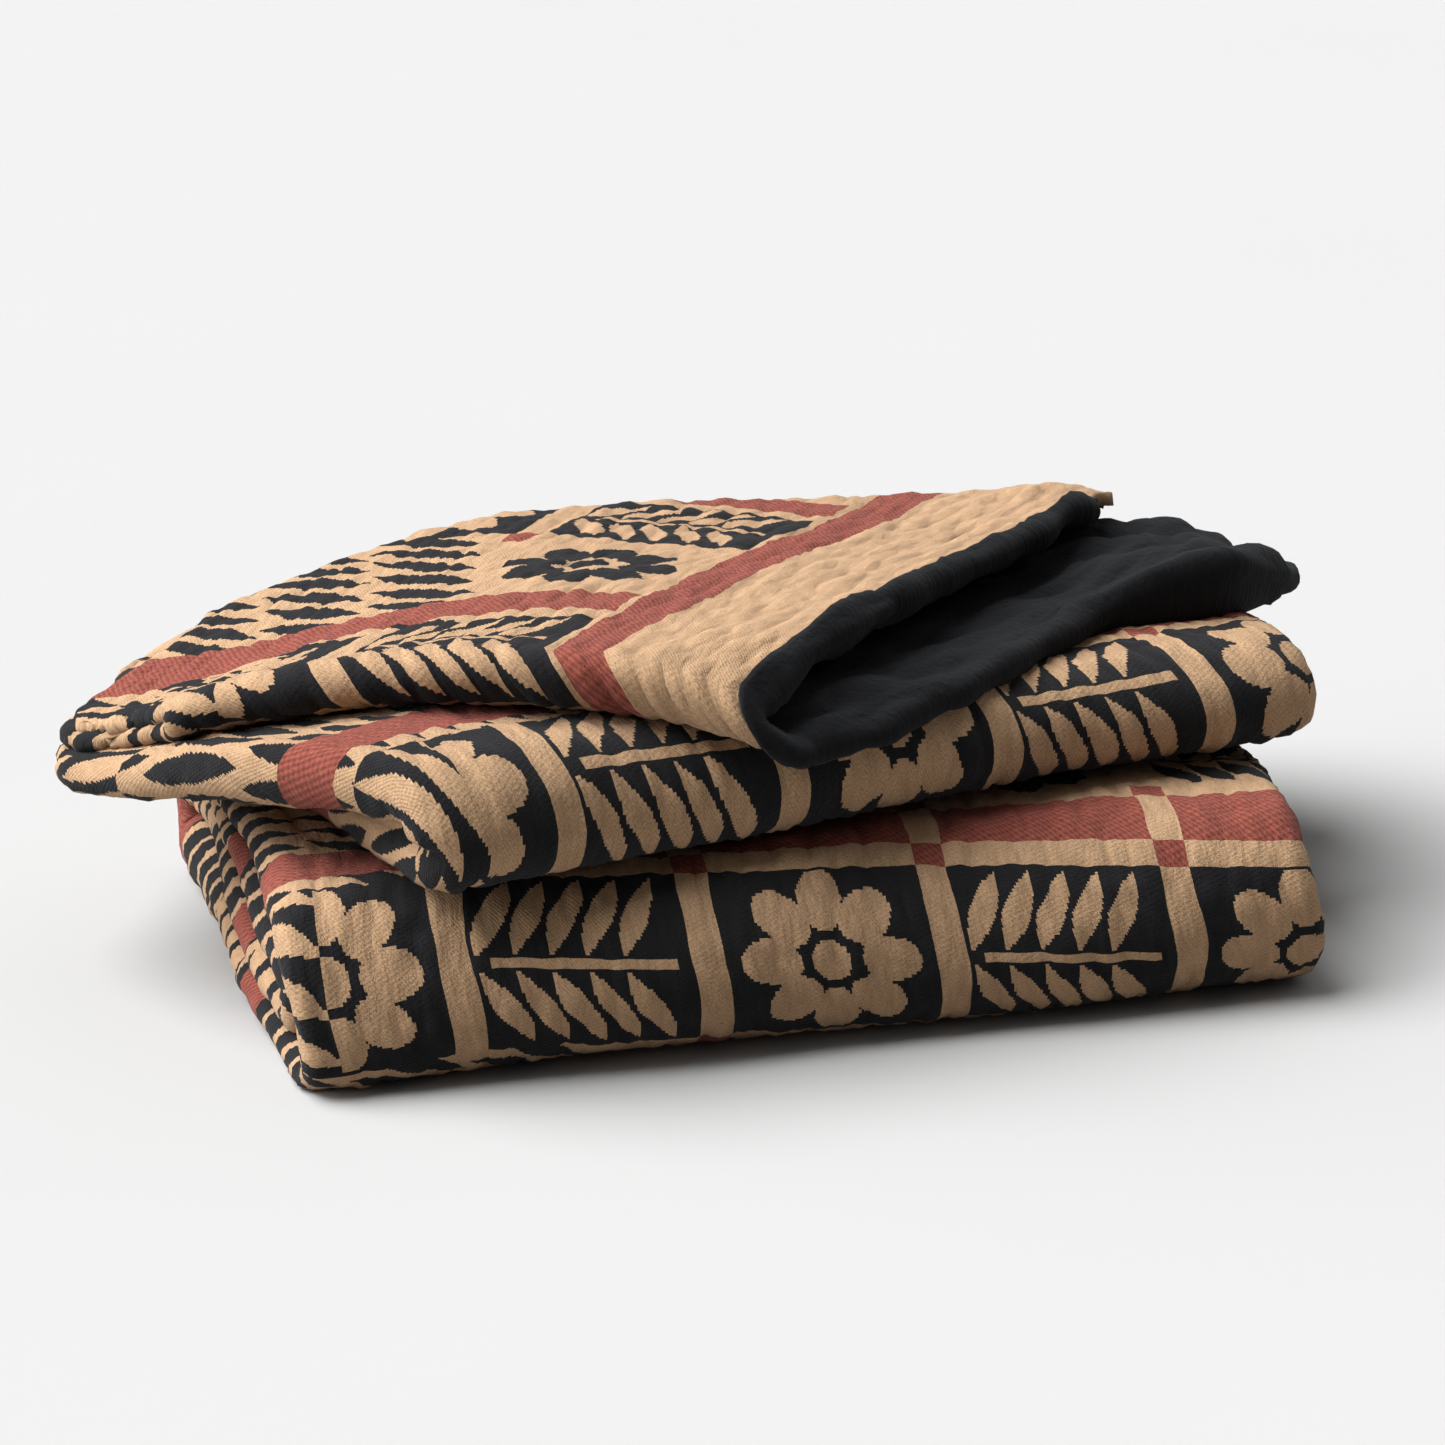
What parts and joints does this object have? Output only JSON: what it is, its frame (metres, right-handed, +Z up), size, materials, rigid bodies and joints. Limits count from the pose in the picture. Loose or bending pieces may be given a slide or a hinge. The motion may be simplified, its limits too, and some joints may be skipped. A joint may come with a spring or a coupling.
{
  "type": "folded quilt",
  "caption": "Folded quilt of puckered woven cloth, a pile of rolled sections with a loose top flap open at one end.",
  "frame": {"origin": "middle of the bounding box on the surface that the quilt rests on", "axes": "+X along the pile to its right end as seen from the front folds, +Y to the back, +Z up"},
  "size_m": [0.676, 0.3644, 0.2046],
  "materials": {
    "patterned_cotton": "matte, fuzzy, puckered",
    "plain_dark_cotton": "matte, soft"
  },
  "bodies": {
    "root": {"quilt_face": "patterned_cotton", "quilt_backing": "plain_dark_cotton"}
  },
  "joints": []
}
